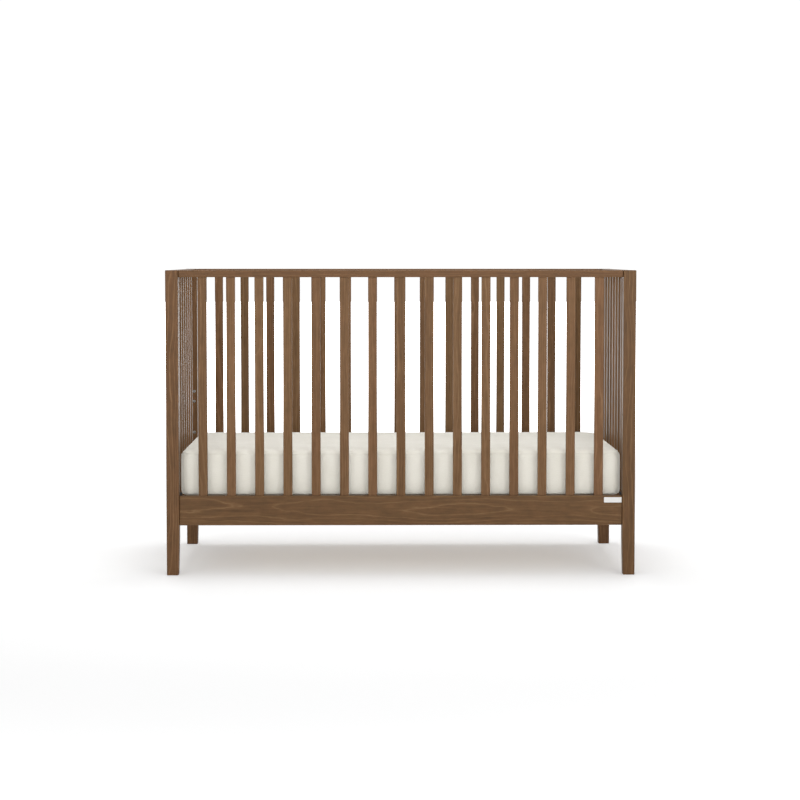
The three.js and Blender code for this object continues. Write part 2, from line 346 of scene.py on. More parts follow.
def woodFinish(name, look):
    # solid timber: growth rings are bands of the distance from the pith, which wanders along
    # the board; fibres, flecks and mottling are noise drawn out along the log
    material, tree, shader = nodeTree(name)
    grain = add(tree, "ShaderNodeAttribute", attribute_name="grain").outputs["Vector"]
    tone = tree.nodes.new("ShaderNodeSeparateXYZ")
    tones = add(tree, "ShaderNodeAttribute", attribute_name="tone").outputs["Vector"]
    tree.links.new(tones, tone.inputs[0])
    edge = add(tree, "ShaderNodeAttribute", attribute_name="easedEdge").outputs["Fac"]
    parts = tree.nodes.new("ShaderNodeSeparateXYZ")
    tree.links.new(grain, parts.inputs[0])
    across, through = calc(tree, "POWER", parts.outputs[1], 2), calc(tree, "POWER", parts.outputs[2], 2)
    square = calc(tree, "ADD", across, through)
    wander = noise(tree, scaled(tree, grain, (2.6, 11, 11)), 1, 1, 0.4)
    ripple = noise(tree, scaled(tree, grain, (11, 45, 45)), 1, 2, 0.5)
    reach = calc(tree, "ADD", calc(tree, "SQRT", square), calc(tree, "MULTIPLY", wander, 0.022))
    reach = calc(tree, "ADD", reach, calc(tree, "MULTIPLY", ripple, 0.0055))
    bands = noise(tree, reach, 0.6 * look["ringsPerMetre"], 3, 0.6, "1D")
    ring = calc(tree, "FRACT", calc(tree, "MULTIPLY", reach, look["ringsPerMetre"]))
    nearEnd = calc(tree, "ABSOLUTE", calc(tree, "SUBTRACT", calc(tree, "MULTIPLY", ring, 2), 1))
    line = calc(tree, "POWER", nearEnd, 7)
    fibres = noise(tree, scaled(tree, grain, (14, 260, 260)), 1, 4, 0.65)
    streaks = noise(tree, scaled(tree, grain, (3.5, 90, 90)), 1, 3, 0.55)
    cloud = noise(tree, scaled(tree, grain, (2.5, 12, 12)), 1, 2, 0.5)
    mottle = noise(tree, scaled(tree, grain, (28, 60, 60)), 1, 3, 0.6)
    flecks = noise(tree, scaled(tree, grain, (75, 800, 800)), 1, 2, 0.5)
    fleck = calc(tree, "MULTIPLY", calc(tree, "SUBTRACT", flecks, 0.58, clamp=True), 6, clamp=True)

    def term(value, weight):
        return calc(tree, "MULTIPLY", calc(tree, "SUBTRACT", value, 0.5), weight)

    # weighted sum about one half, then the three stain colours
    lines = calc(tree, "MULTIPLY", term(line, 0.36 * look["figure"]), calc(tree, "MULTIPLY", cloud, 2))
    figure = calc(tree, "ADD", term(bands, 0.5 * look["figure"]), lines)
    figure = calc(tree, "MULTIPLY", figure, tone.outputs[2])
    value = calc(tree, "ADD", figure, term(streaks, 0.3))
    for layer, weight in ((fibres, 0.65), (cloud, 0.25), (mottle, 0.35)):
        value = calc(tree, "ADD", value, term(layer, weight))
    value = calc(tree, "ADD", calc(tree, "ADD", value, 0.56), tone.outputs[0])
    stain = ramp(tree, value, [(0.1, look["dark"]), (0.5, look["middle"]), (0.9, look["light"])])
    warm = calc(tree, "ADD", term(mottle, 0.5), calc(tree, "ADD", tone.outputs[1], 0.5))
    cast = ramp(tree, warm, [(0.2, (0.95, 1.03, 0.98)), (0.8, (1.06, 0.975, 0.97))])
    colour = mixColour(tree, "MULTIPLY", 1.0, stain, cast)
    colour = mixColour(tree, "MIX", calc(tree, "MULTIPLY", fleck, 0.4), colour, look["dark"])
    worn = calc(tree, "MULTIPLY", edge, calc(tree, "MULTIPLY", streaks, 0.5))
    colour = mixColour(tree, "MIX", worn, colour, look["light"])
    tree.links.new(colour, shader.inputs["Base Color"])
    rough = calc(tree, "ADD", calc(tree, "ADD", term(fibres, 0.16), term(mottle, 0.12)), look["rough"])
    tree.links.new(rough, shader.inputs["Roughness"])
    shader.inputs["Specular IOR Level"].default_value = look["gloss"]
    shader.inputs["Coat Weight"].default_value = look["lacquer"]
    shader.inputs["Coat Roughness"].default_value = look["lacquerRough"]
    relief = calc(tree, "MULTIPLY", calc(tree, "SUBTRACT", fibres, fleck), 0.6)
    bump = add(tree, "ShaderNodeBump", Strength=0.35, Distance=0.0003)
    tree.links.new(relief, bump.inputs["Height"])
    tree.links.new(bump.outputs[0], shader.inputs["Normal"])
    return material


def objectSpace(tree):
    return tree.nodes.new("ShaderNodeTexCoord").outputs["Object"]


metalLooks = {
    "zinc": {"base": (0.50, 0.49, 0.47), "rough": 0.3, "metal": 1.0, "grain": 900, "relief": 0.00002},
    "blackSteel": {"base": (0.022, 0.022, 0.024), "rough": 0.42, "metal": 0.0, "grain": 420, "relief": 0.00012},
}


def metalFinish(name, look):
    # plated or powder-coated metal: fine noise in tone, gloss and relief
    material, tree, shader = nodeTree(name)
    place = objectSpace(tree)
    fine = noise(tree, place, look["grain"], 3, 0.6)
    broad = noise(tree, place, 60, 3, 0.55)
    dull = tuple(0.72 * c for c in look["base"])
    colour = mixColour(tree, "MIX", broad, dull, tuple(1.12 * c for c in look["base"]))
    tree.links.new(colour, shader.inputs["Base Color"])
    rough = calc(tree, "ADD", calc(tree, "MULTIPLY", fine, 0.14), calc(tree, "MULTIPLY", broad, 0.12))
    tree.links.new(calc(tree, "ADD", rough, look["rough"] - 0.13), shader.inputs["Roughness"])
    shader.inputs["Metallic"].default_value = look["metal"]
    bump = add(tree, "ShaderNodeBump", Strength=0.5, Distance=look["relief"])
    tree.links.new(fine, bump.inputs["Height"])
    tree.links.new(bump.outputs[0], shader.inputs["Normal"])
    return material


def labelFinish():
    # satin white plate with a faint speckle and a thin pressed border line
    material, tree, shader = nodeTree("label_white")
    place = objectSpace(tree)
    speckle = noise(tree, place, 700, 3, 0.6)
    colour = mixColour(tree, "MIX", speckle, (0.56, 0.555, 0.54), (0.63, 0.625, 0.61))
    tree.links.new(colour, shader.inputs["Base Color"])
    rough = calc(tree, "ADD", calc(tree, "MULTIPLY", speckle, 0.15), 0.35)
    tree.links.new(rough, shader.inputs["Roughness"])
    bump = add(tree, "ShaderNodeBump", Strength=0.3, Distance=0.00005)
    tree.links.new(speckle, bump.inputs["Height"])
    tree.links.new(bump.outputs[0], shader.inputs["Normal"])
    return material


coverLook = {
    "shade": (0.65, 0.63, 0.555),
    "cream": (0.745, 0.727, 0.66),
    "threads": 4500,  # radians for each metre, so a rib every 1.4 mm
    "relief": 0.00012,
}


def coverFinish(look):
    # woven cotton: two crossed sets of fine ribs on each of the three planes, chosen by the
    # way the surface faces, with slubs along the threads and a little broad mottling
    material, tree, shader = nodeTree("cream_cover")
    place = objectSpace(tree)
    axes = tree.nodes.new("ShaderNodeSeparateXYZ")
    tree.links.new(place, axes.inputs[0])
    ribs = [calc(tree, "SINE", calc(tree, "MULTIPLY", out, look["threads"])) for out in axes.outputs]
    facing = tree.nodes.new("ShaderNodeSeparateXYZ")
    tree.links.new(tree.nodes.new("ShaderNodeNewGeometry").outputs["Normal"], facing.inputs[0])
    weave = None
    for k in range(3):
        crossed = calc(tree, "MULTIPLY", ribs[(k + 1) % 3], ribs[(k + 2) % 3])
        plane = calc(tree, "MULTIPLY", crossed, calc(tree, "POWER", facing.outputs[k], 2))
        weave = plane if weave is None else calc(tree, "ADD", weave, plane)
    slubs = noise(tree, scaled(tree, place, (60, 900, 900)), 1, 3, 0.6)
    cloud = noise(tree, place, 9, 3, 0.5)
    value = calc(tree, "ADD", calc(tree, "MULTIPLY", slubs, 0.35), calc(tree, "MULTIPLY", cloud, 0.5))
    value = calc(tree, "ADD", value, calc(tree, "MULTIPLY", weave, 0.1))
    colour = ramp(tree, value, [(0.2, look["shade"]), (0.55, look["cream"])])
    tree.links.new(colour, shader.inputs["Base Color"])
    shader.inputs["Roughness"].default_value = 0.88
    shader.inputs["Sheen Weight"].default_value = 0.25
    shader.inputs["Sheen Roughness"].default_value = 0.5
    height = calc(tree, "ADD", weave, calc(tree, "MULTIPLY", slubs, 1.2))
    bump = add(tree, "ShaderNodeBump", Strength=0.5, Distance=look["relief"])
    tree.links.new(height, bump.inputs["Height"])
    tree.links.new(bump.outputs[0], shader.inputs["Normal"])
    return material


walnut = woodFinish("walnut_stained_beech", walnutStain)
beech = woodFinish("plain_beech", plainBeech)
zinc = metalFinish("zinc_plate", metalLooks["zinc"])
blackSteel = metalFinish("black_powder_coat", metalLooks["blackSteel"])
labelWhite = labelFinish()
cream = coverFinish(coverLook)
print("materials made")


# Legs, with the bolt counterbores, the rows of threaded inserts and the guard rail holes

legCut = {
    "ease": 0.0022,
    "pith": (0.03, 0.09),  # nearest and farthest the log's pith lies from the board's middle
    "flatAxis": 0,
    "flatShare": 0.5,
    "lean": 0.006,
    "light": 0.02,
    "warm": 0.06,
}
legShape = {"foot": 0.035, "taper": 0.12, "knee": 0.004, "straightEnd": 0.006}
boltSeat = {"bore": 0.0073, "depth": 0.0063}
cutPast = 0.002  # how far a cutter runs past the face it opens
inserts = {
    "radius": 0.0045,
    "depth": 0.013,
    "hole": 0.0030,
    "play": 0.0004,
    "thread": 0.0004,
    "threads": 9,
    "inLeg": 0.011,  # from the leg's inner face to the row
    "belowTop": 0.009,  # from the bracket's top to its upper screw
    "pair": 0.033,
    "step": 0.136,
    "levels": 3,
}
guardHole = {"radius": 0.004, "depth": 0.014, "height": 0.482}


def legPiece(corner, sx, sy):
    node = "leg_" + corner
    low, high = (np.array(c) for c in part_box(node))
    full = high[0] - low[0]
    outer = np.array([high[0] if sx > 0 else low[0], high[1] if sy > 0 else low[1]])
    knee = legShape["knee"]
    taper, end = legShape["taper"], legShape["straightEnd"]
    heights = np.array([0, end, taper - knee, taper + knee, high[2] - end, high[2]])
    share = np.clip(heights / taper, 0, 1)
    width = legShape["foot"] + (full - legShape["foot"]) * share
    half = np.stack([width / 2, width / 2], axis=1)
    centre = outer[None, :] - np.array([sx, sy])[None, :] * half
    piece = meshPiece(node + "_wood", *boardGrid(heights, centre, half, 2, legCut["ease"]))
    cutHoles(piece, legHoles(corner, sx, sy, low, high))
    sharpCorners(piece)
    grainField(piece, 2, legCut)
    return finish(piece, "frame", walnut, [node])


def insertPlaces(corner):
    # (x, z) of each threaded insert, from the bracket's own place and the pair spacing
    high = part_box("support_bracket_" + corner)[1]
    sx = 1 if high[0] > 0 else -1
    legLow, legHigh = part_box("leg_" + corner)
    x = (legLow[0] if sx > 0 else legHigh[0]) + sx * inserts["inLeg"]
    upper = high[2] - inserts["belowTop"]
    return [(x, upper - k * inserts["pair"] + level * inserts["step"])
            for level in range(inserts["levels"]) for k in (0, 1)]


def legHoles(corner, sx, sy, low, high):
    inner = np.array([low[0] if sx > 0 else high[0], low[1] if sy > 0 else high[1]])
    outerX = high[0] if sx > 0 else low[0]
    cutters = []
    for bolt in ("top_bolt_", "lower_bolt_"):
        boltLow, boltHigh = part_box(bolt + corner)
        y, z = (boltLow[1] + boltHigh[1]) / 2, (boltLow[2] + boltHigh[2]) / 2
        ends = sorted([outerX + sx * cutPast, outerX - sx * boltSeat["depth"]])
        cutters.append(rod(0, ends[0], ends[1], (y, z), boltSeat["bore"]))
    for x, z in insertPlaces(corner):
        ends = sorted([inner[1] - sy * cutPast, inner[1] + sy * inserts["depth"]])
        cutters.append(rod(1, ends[0], ends[1], (x, z), inserts["radius"] + inserts["play"]))
    if sy < 0:
        railLow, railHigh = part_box("front_top_rail")
        ends = sorted([inner[0] - sx * cutPast, inner[0] + sx * guardHole["depth"]])
        centre = ((railLow[1] + railHigh[1]) / 2, guardHole["height"])
        cutters.append(rod(0, ends[0], ends[1], centre, guardHole["radius"]))
    return cutters


def insertRow(corner, sy):
    # each insert is a turned bush: rim, threaded bore and a closed end, opening towards the bed
    legLow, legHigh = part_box("leg_" + corner)
    face = legLow[1] if sy > 0 else legHigh[1]
    r, hole, pitch, rim = inserts["radius"], inserts["hole"], 0.001, 0.0003
    deep = inserts["depth"] - 0.001
    profile = [(deep, r), (rim, r), (0, r - rim), (0, hole + 2 * rim)]
    for at in 0.0012 + pitch * np.arange(inserts["threads"]):
        profile += [(at, hole), (at + pitch / 2, hole + inserts["thread"])]
    profile.append((deep - 0.001, hole))
    parts = []
    for x, z in insertPlaces(corner):
        verts, faces = lathe(profile, 24)
        placed = np.stack([verts[:, 1] + x, face + sy * (verts[:, 0] + 0.0002), verts[:, 2] + z], axis=1)
        parts.append((placed, faces))
    piece = meshPiece("inserts_" + corner, *joinParts(parts))
    sharpCorners(piece, 50)
    return finish(piece, "frame", zinc)


for corner, sx, sy in corners:
    legPiece(corner, sx, sy)
    insertRow(corner, sy)
print("legs made")


# Rails and slats

railCut = dict(legCut, ease=0.0020, pith=(0.02, 0.07), flatAxis=1, flatShare=0.25, lean=0.010)
topRailCut = dict(railCut, ease=0.0025, flatShare=0.8, lean=0.004)
slatCut = dict(legCut, pith=(0.03, 0.11), flatShare=0.6, light=0.035, warm=0.10, lift=0.115)
barrelNut = {
    "radius": 0.005,
    "fromEnd": 0.034,
    "bore": 0.0053,
    "depth": 0.017,
    "length": 0.015,
    "sunk": 0.0006,
    "chamfer": 0.0004,
    "slot": 0.0011,
    "slotDepth": 0.0015,
}
endSlats = {"count": 8, "intoRail": 0.010}


def nutPlaces(sy, node):
    # the barrel nuts sit in the rail's inner face, in line with its bolts
    low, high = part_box(node)
    inner = low[1] if sy > 0 else high[1]
    z = (low[2] + high[2]) / 2
    return [(x, inner, z) for x in (low[0] + barrelNut["fromEnd"], high[0] - barrelNut["fromEnd"])]


for side, sy in (("front", -1), ("back", 1)):
    for node, cut in ((side + "_top_rail", topRailCut), (side + "_lower_rail", railCut)):
        bores = []
        for x, y, z in nutPlaces(sy, node):
            ends = sorted([y - sy * cutPast, y + sy * barrelNut["depth"]])
            bores.append(rod(1, ends[0], ends[1], (x, z), barrelNut["bore"]))
        board(node + "_wood", node, "frame", 0, walnut, cut, holes=bores)
    count = sum(name.startswith(side + "_slat_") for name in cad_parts)
    for i in range(1, count + 1):
        node = side + "_slat_" + str(i)
        board(node + "_wood", node, "frame", 2, walnut, slatCut)

for end in ("left", "right"):
    board(end + "_top_rail_wood", end + "_top_rail", "frame", 1, walnut, topRailCut)
print("rails and side slats made")


def endGrille(end):
    # the glued end lattice as its own boards: the lower rail, and slats that run into both rails
    node = end + "_grille"
    low, high = (np.array(c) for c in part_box(node))
    slatBox = [np.array(c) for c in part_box("front_slat_1")]
    width, thick = slatBox[1][0] - slatBox[0][0], slatBox[1][1] - slatBox[0][1]
    middle = (low[0] + high[0]) / 2
    top = endRailTop(node)
    board(end + "_lower_rail_wood", node, "frame", 1, walnut, railCut,
          box=(low, (high[0], high[1], top)))
    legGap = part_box("leg_back_" + end)[0][1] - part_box("leg_front_" + end)[1][1]
    pitch = (legGap + width) / (endSlats["count"] + 1)
    foot = top - endSlats["intoRail"]
    for i in range(1, endSlats["count"] + 1):
        y = i * pitch - (legGap + width) / 2
        slat = ((middle - thick / 2, y - width / 2, foot), (middle + thick / 2, y + width / 2, high[2]))
        name = end + "_slat_" + str(i) + "_wood"
        board(name, node, "frame", 2, walnut, slatCut, box=slat)


def endRailTop(node):
    # top of the lower rail: the highest point of the lattice at the rail's own full width
    places = pointsOf(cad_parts[node].data)
    away = np.abs(places[:, 0] - (places[:, 0].min() + places[:, 0].max()) / 2)
    return places[away > 0.9 * away.max(), 2].max()


for end in ("left", "right"):
    endGrille(end)
print("end slats made")


# Panel bolts and barrel nuts

boltLook = {
    "head": 0.0065,
    "headLength": 0.005,
    "shank": 0.003,
    "thread": 0.030,
    "threadStep": 0.001,
    "threadCut": 0.0004,
    "socket": 0.0025,
    "socketDepth": 0.003,
    "chamfer": 0.0006,
}


def boltProfile(length):
    # from the tip along the threaded shank to the head, its chamfer, face and hexagon socket
    s, h, c = boltLook["shank"], boltLook["head"], boltLook["chamfer"]
    step, root = boltLook["threadStep"], s - boltLook["threadCut"]
    shankEnd = length - boltLook["headLength"]
    points = [(0, s - c)]
    for at in np.arange(c, boltLook["thread"], step):
        points += [(at, s), (at + step / 2, root)]
    points += [(boltLook["thread"] + c, s), (shankEnd, s), (shankEnd, h - c), (shankEnd + c, h)]
    points += [(length - c, h), (length, h - c)]
    socket = [(length, boltLook["socket"]), (length - boltLook["socketDepth"], boltLook["socket"])]
    return points + socket, slice(len(points), None)


def panelBolt(name, sx):
    low, high = (np.array(c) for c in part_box(name))
    profile, facets = boltProfile(high[0] - low[0])
    verts, faces = lathe(profile, 36, facets)
    y, z = (low[1] + high[1]) / 2, (low[2] + high[2]) / 2
    start = low[0] if sx > 0 else high[0]
    placed = np.stack([start + sx * verts[:, 0], y + verts[:, 1], z + verts[:, 2]], axis=1)
    piece = meshPiece(name + "_steel", placed, faces)
    sharpCorners(piece, 30)
    return finish(piece, "frame", zinc, [name])


def barrelNuts(sy, node):
    # turned cylinders with a screwdriver slot in the end that shows
    n = barrelNut
    r, c, half, tall = n["radius"], n["chamfer"], n["slot"] / 2, n["radius"] + 0.002
    parts, slots = [], []
    for x, y, z in nutPlaces(sy, node):
        start = y + sy * n["sunk"]
        verts, faces = lathe([(0, r - c), (c, r), (n["length"], r)], 32)
        placed = np.stack([x + verts[:, 1], start + sy * verts[:, 0], z + verts[:, 2]], axis=1)
        parts.append((placed, faces))
        reach = sorted([start - sy * 0.001, start + sy * n["slotDepth"]])
        low, high = (x - half, reach[0], z - tall), (x + half, reach[1], z + tall)
        slots.append(boxBoard(low, high, 2, 0.00005, 1))
    piece = meshPiece(node + "_barrel_nuts", *joinParts(parts))
    cutHoles(piece, slots)
    sharpCorners(piece, 30)
    return finish(piece, "frame", zinc)


for corner, sx, sy in corners:
    panelBolt("top_bolt_" + corner, sx)
    panelBolt("lower_bolt_" + corner, sx)
for side, sy in (("front", -1), ("back", 1)):
    for node in (side + "_top_rail", side + "_lower_rail"):
        barrelNuts(sy, node)
print("bolts and barrel nuts made")


# Mattress support: its boards, brackets and screws

deckCut = dict(legCut, ease=0.0015, pith=(0.02, 0.08), flatAxis=1, flatShare=0.4, light=0.05, warm=0.10)
deckBuild = {
    "board": 0.022,
    "slatThick": 0.010,
    "slatWidth": 0.060,
    "slats": 10,
    "inset": 0.003,
    "beamWidth": 0.040,
    "beamHeight": 0.022,
    "screwApart": 0.036,
}
screwHead = [(-0.004, 0.0012), (-0.0016, 0.0018), (0.0001, 0.0038)]
screwHead += [(0.00025, 0.0034), (0.00025, 0.0012), (-0.0012, 0.0008)]
buttonHead = {
    "plate": 0.003,
    "height": 0.0026,
    "ball": 0.0058,
    "shank": 0.0029,
    "rim": 0.0054,
    "socket": 0.0019,
    "floor": 0.0008,
}


def deckBoard(name, low, high, axis):
    return board(name, "support_deck", "support", axis, beech, deckCut, box=(low, high))


def supportDeck():
    low, high = (np.array(c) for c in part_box("support_deck"))
    d = deckBuild
    frameTop = high[2] - d["slatThick"]
    for name, y in (("front", low[1]), ("back", high[1] - d["board"])):
        deckBoard("deck_rail_" + name, (low[0], y, low[2]), (high[0], y + d["board"], frameTop), 0)
    for name, x in (("left", low[0]), ("right", high[0] - d["board"])):
        start, end = low[1] + d["board"], high[1] - d["board"]
        deckBoard("deck_rail_" + name, (x, start, low[2]), (x + d["board"], end, frameTop), 1)
    pitch = (high[0] - low[0] + d["slatWidth"]) / (d["slats"] + 1)
    for i in range(1, d["slats"] + 1):
        x = low[0] - d["slatWidth"] + i * pitch
        start, end = low[1] + d["inset"], high[1] - d["inset"]
        deckBoard("deck_slat_" + str(i), (x, start, frameTop), (x + d["slatWidth"], end, high[2]), 1)
    half, under = d["beamWidth"] / 2, frameTop - d["beamHeight"]
    start, end = low[0] + d["board"], high[0] - d["board"]
    deckBoard("deck_beam", (start, -half, under), (end, half, frameTop), 0)


def deckScrews():
    # countersunk screw heads, two where each slat crosses a long rail, seen from above
    low, high = (np.array(c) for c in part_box("support_deck"))
    d = deckBuild
    pitch = (high[0] - low[0] + d["slatWidth"]) / (d["slats"] + 1)
    parts = []
    for i in range(1, d["slats"] + 1):
        middle = low[0] - d["slatWidth"] / 2 + i * pitch
        for x in (middle - d["screwApart"] / 2, middle + d["screwApart"] / 2):
            for y in (low[1] + d["board"] / 2, high[1] - d["board"] / 2):
                verts, faces = lathe(screwHead, 16)
                placed = np.stack([x + verts[:, 1], y + verts[:, 2], high[2] + verts[:, 0]], axis=1)
                parts.append((placed, faces))
    piece = meshPiece("deck_screws", *joinParts(parts))
    sharpCorners(piece, 30)
    return finish(piece, "support", zinc)


def bracket(corner):
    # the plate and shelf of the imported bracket, welded shut and given a small rounded edge
    name = "support_bracket_" + corner
    piece = bpy.data.objects.new(name + "_steel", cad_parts[name].data.copy())
    scene.collection.objects.link(piece)
    piece.data.materials.clear()
    work = bmesh.new()
    work.from_mesh(piece.data)
    bmesh.ops.remove_doubles(work, verts=work.verts, dist=1e-5)
    bmesh.ops.dissolve_limit(work, angle_limit=math.radians(1), verts=work.verts, edges=work.edges)
    work.to_mesh(piece.data)
    work.free()
    piece.data.polygons.foreach_set("use_smooth", np.ones(len(piece.data.polygons), bool))
    soft = piece.modifiers.new("rolled_edges", "BEVEL")
    soft.width = 0.0005
    soft.segments = 2
    soft.limit_method = "ANGLE"
    soft.angle_limit = math.radians(40)
    piece.modifiers.new("flats", "WEIGHTED_NORMAL")
    return finish(piece, "support", blackSteel, [name])


def bracketScrews(corner, sy):
    # button heads with a hexagon socket, one in each bracket hole; the head is part of a ball,
    # at angle t from its middle height - radius * (1 - cos t) out and radius * sin t across
    b = buttonHead
    low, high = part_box("support_bracket_" + corner)
    plate = (low[1] if sy < 0 else high[1]) - sy * b["plate"]
    x, upper = insertPlaces(corner)[0]
    t = np.radians(np.linspace(62, 25, 4))
    dome = np.stack([b["height"] - b["ball"] * (1 - np.cos(t)), b["ball"] * np.sin(t)], axis=1).tolist()
    profile = [(-0.0028, b["shank"]), (0.0, b["shank"]), (0.0, b["rim"])] + dome
    socket = [(dome[-1][0], b["socket"]), (b["floor"], b["socket"])]
    parts = []
    for z in (upper, upper - inserts["pair"]):
        verts, faces = lathe(profile + socket, 36, slice(len(profile), None))
        placed = np.stack([x + verts[:, 1], plate - sy * verts[:, 0], z + verts[:, 2]], axis=1)
        parts.append((placed, faces))
    piece = meshPiece("bracket_screws_" + corner, *joinParts(parts))
    sharpCorners(piece, 40)
    return finish(piece, "support", zinc)


supportDeck()
deckScrews()
for corner, sx, sy in corners:
    bracket(corner)
    bracketScrews(corner, sy)
print("mattress support made")


# Label plate

labelShape = {"corner": 0.0016, "bevel": 0.0002, "border": 0.0010, "groove": 0.00012}


def labelPiece():
    low, high = (np.array(c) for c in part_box("label_plate"))
    r, bevel = labelShape["corner"], labelShape["bevel"]
    angle, quarter = roundedCorners(7)
    middle, half = (low + high) / 2, (high - low) / 2
    # rounded outline at each depth: back, front edge, bevel, and a shallow pressed border groove
    face, groove, border = low[1], low[1] + labelShape["groove"], labelShape["border"]
    stations = [(high[1], 0), (face + bevel, 0), (face, bevel), (face, border)]
    stations += [(groove, border + 0.0002), (groove, border + 0.0004), (face, border + 0.0006)]
    rings = []
    for y, inset in stations:
        radius = max(r - inset, 0.0003)
        x = middle[0] + quarter[:, 0] * (half[0] - inset - radius) + radius * np.cos(angle)
        z = middle[2] + quarter[:, 1] * (half[2] - inset - radius) + radius * np.sin(angle)
        rings.append(np.stack([x, np.full_like(x, y), z], axis=1))
    piece = meshPiece("label_blank", np.concatenate(rings), shellFaces(len(rings), len(angle)))
    sharpCorners(piece, 30)
    return finish(piece, "frame", labelWhite, ["label_plate"])


labelPiece()


# Mattress: a foam block in a fitted cover, swelled by a short cloth run

mattressShape = {
    "tuck": 0.0035,  # start this much smaller all round, because the cover swells
    "corner": 0.026,
    "topEdge": 0.016,
    "lowEdge": 0.009,
    "crown": 0.002,
    "voxel": 0.010,
    "cap": 0.006,
    "pressure": 4.0,
    "frames": 20,
    "piping": 0.0014,
    "bulge": (0.0085, 0.0010, 0),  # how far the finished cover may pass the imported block
}


def mattressStart():
    # rounded block: stations up the side, each a rounded rectangle; the top and bottom edges
    # follow quarter circles, z = edge * (1 - cos t) while the sides draw in edge * (1 - sin t)
    s = mattressShape
    low, high = (np.array(c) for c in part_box("mattress"))
    low, high = low + s["tuck"] * np.array([1, 1, 0.1]), high - s["tuck"] * np.array([1, 1, 0.6])
    t = np.linspace(0, math.pi / 2, 6)
    rise, draw = 1 - np.cos(t), 1 - np.sin(t)
    wall = np.linspace(low[2] + s["lowEdge"], high[2] - s["topEdge"], 8)[1:-1]
    heights = np.concatenate([low[2] + s["lowEdge"] * rise, wall, high[2] - s["topEdge"] * rise[::-1]])
    draws = np.concatenate([s["lowEdge"] * draw, np.zeros(6), s["topEdge"] * draw[::-1]])
    angle, quarter = roundedCorners(9)
    middle, half = (low + high) / 2, (high - low) / 2
    r = (s["corner"] - 0.5 * draws)[:, None]
    x = middle[0] + quarter[:, 0] * (half[0] - draws[:, None] - r) + r * np.cos(angle)
    y = middle[1] + quarter[:, 1] * (half[1] - draws[:, None] - r) + r * np.sin(angle)
    verts = np.stack([x, y, heights[:, None] * np.ones_like(x)], axis=-1).reshape(-1, 3)
    return verts, shellFaces(len(heights), len(angle))


def swellCover(piece):
    # remesh, run the cloth under pressure, and keep each point within the cap of its start
    s = mattressShape
    remesh = piece.modifiers.new("even_mesh", "REMESH")
    remesh.mode = "VOXEL"
    remesh.voxel_size = s["voxel"]
    even = bpy.data.meshes.new_from_object(piece.evaluated_get(bpy.context.evaluated_depsgraph_get()))
    piece.modifiers.clear()
    piece.data = even
    start = pointsOf(even)
    cloth = piece.modifiers.new("cover", "CLOTH")
    cloth.settings.use_pressure = True
    cloth.settings.uniform_pressure_force = s["pressure"]
    cloth.settings.effector_weights.gravity = 0
    cloth.settings.quality = 4
    cloth.settings.tension_stiffness = 25
    cloth.settings.compression_stiffness = 12
    cloth.settings.bending_stiffness = 2
    for number in range(1, s["frames"] + 1):
        scene.frame_set(number)
    swelled = bpy.data.meshes.new_from_object(piece.evaluated_get(bpy.context.evaluated_depsgraph_get()))
    piece.modifiers.clear()
    scene.frame_set(1)
    moved = pointsOf(swelled) - start
    length = np.linalg.norm(moved, axis=1, keepdims=True)
    moved *= np.minimum(1, s["cap"] / np.maximum(length, 1e-9))
    swelled.vertices.foreach_set("co", (start + moved).astype(np.float32).ravel())
    piece.data = swelled


def settleCover(piece):
    # brings the swelled cover back to the bed's own length and width, keeps its underside flat
    # on the slats and gives the top a slight crown
    low, high = (np.array(c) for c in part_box("mattress"))
    places = pointsOf(piece.data)
    middle, half = (low + high) / 2, (high - low) / 2
    reach = np.abs(places - middle).max(0)
    size = (half + np.array(mattressShape["bulge"])) / reach
    places[:, :2] = middle[:2] + (places - middle)[:, :2] * size[:2]
    across = (places[:, :2] - middle[:2]) / half[:2]
    rise = np.clip((places[:, 2] - middle[2]) / half[2], 0, 1)
    places[:, 2] += mattressShape["crown"] * rise ** 3 * (1 - np.clip(across ** 4, 0, 1)).prod(1)
    places[:, 2] = np.clip(places[:, 2], low[2], high[2] + 0.0035)
    piece.data.vertices.foreach_set("co", places.astype(np.float32).ravel())
    piece.data.update()


def tube(path, radius, closed, around=10):
    # circle of the radius carried along the path, in the plane of world up and the outward side
    ahead = np.roll(path, -1, axis=0) - np.roll(path, 1, axis=0)
    if not closed:
        ahead[0], ahead[-1] = path[1] - path[0], path[-1] - path[-2]
    ahead /= np.linalg.norm(ahead, axis=1, keepdims=True)
    helper = np.where(np.abs(ahead[:, 2:]) > 0.8, [[1.0, 0, 0]], [[0, 0, 1.0]])
    side = np.cross(ahead, helper)
    side /= np.linalg.norm(side, axis=1, keepdims=True)
    up = np.cross(side, ahead)
    angle = np.linspace(0, 2 * math.pi, around, endpoint=False)[None, :, None]
    out = np.cos(angle) * side[:, None, :] - np.sin(angle) * up[:, None, :]
    verts = (path[:, None, :] + radius * out).reshape(-1, 3)
    if closed:
        wrapped = ringFaces(len(path) + 1, around)
        return verts, [[i % len(verts) for i in face] for face in wrapped]
    return verts, shellFaces(len(path), around)


def onCover(tree, starts, ways):
    # where rays aimed inward from the starts meet the cover
    found = []
    for start, way in zip(starts, ways):
        hit = tree.ray_cast(Vector(start), Vector(way), 0.1)[0]
        found.append(tuple(hit if hit is not None else start))
    return np.array(found)


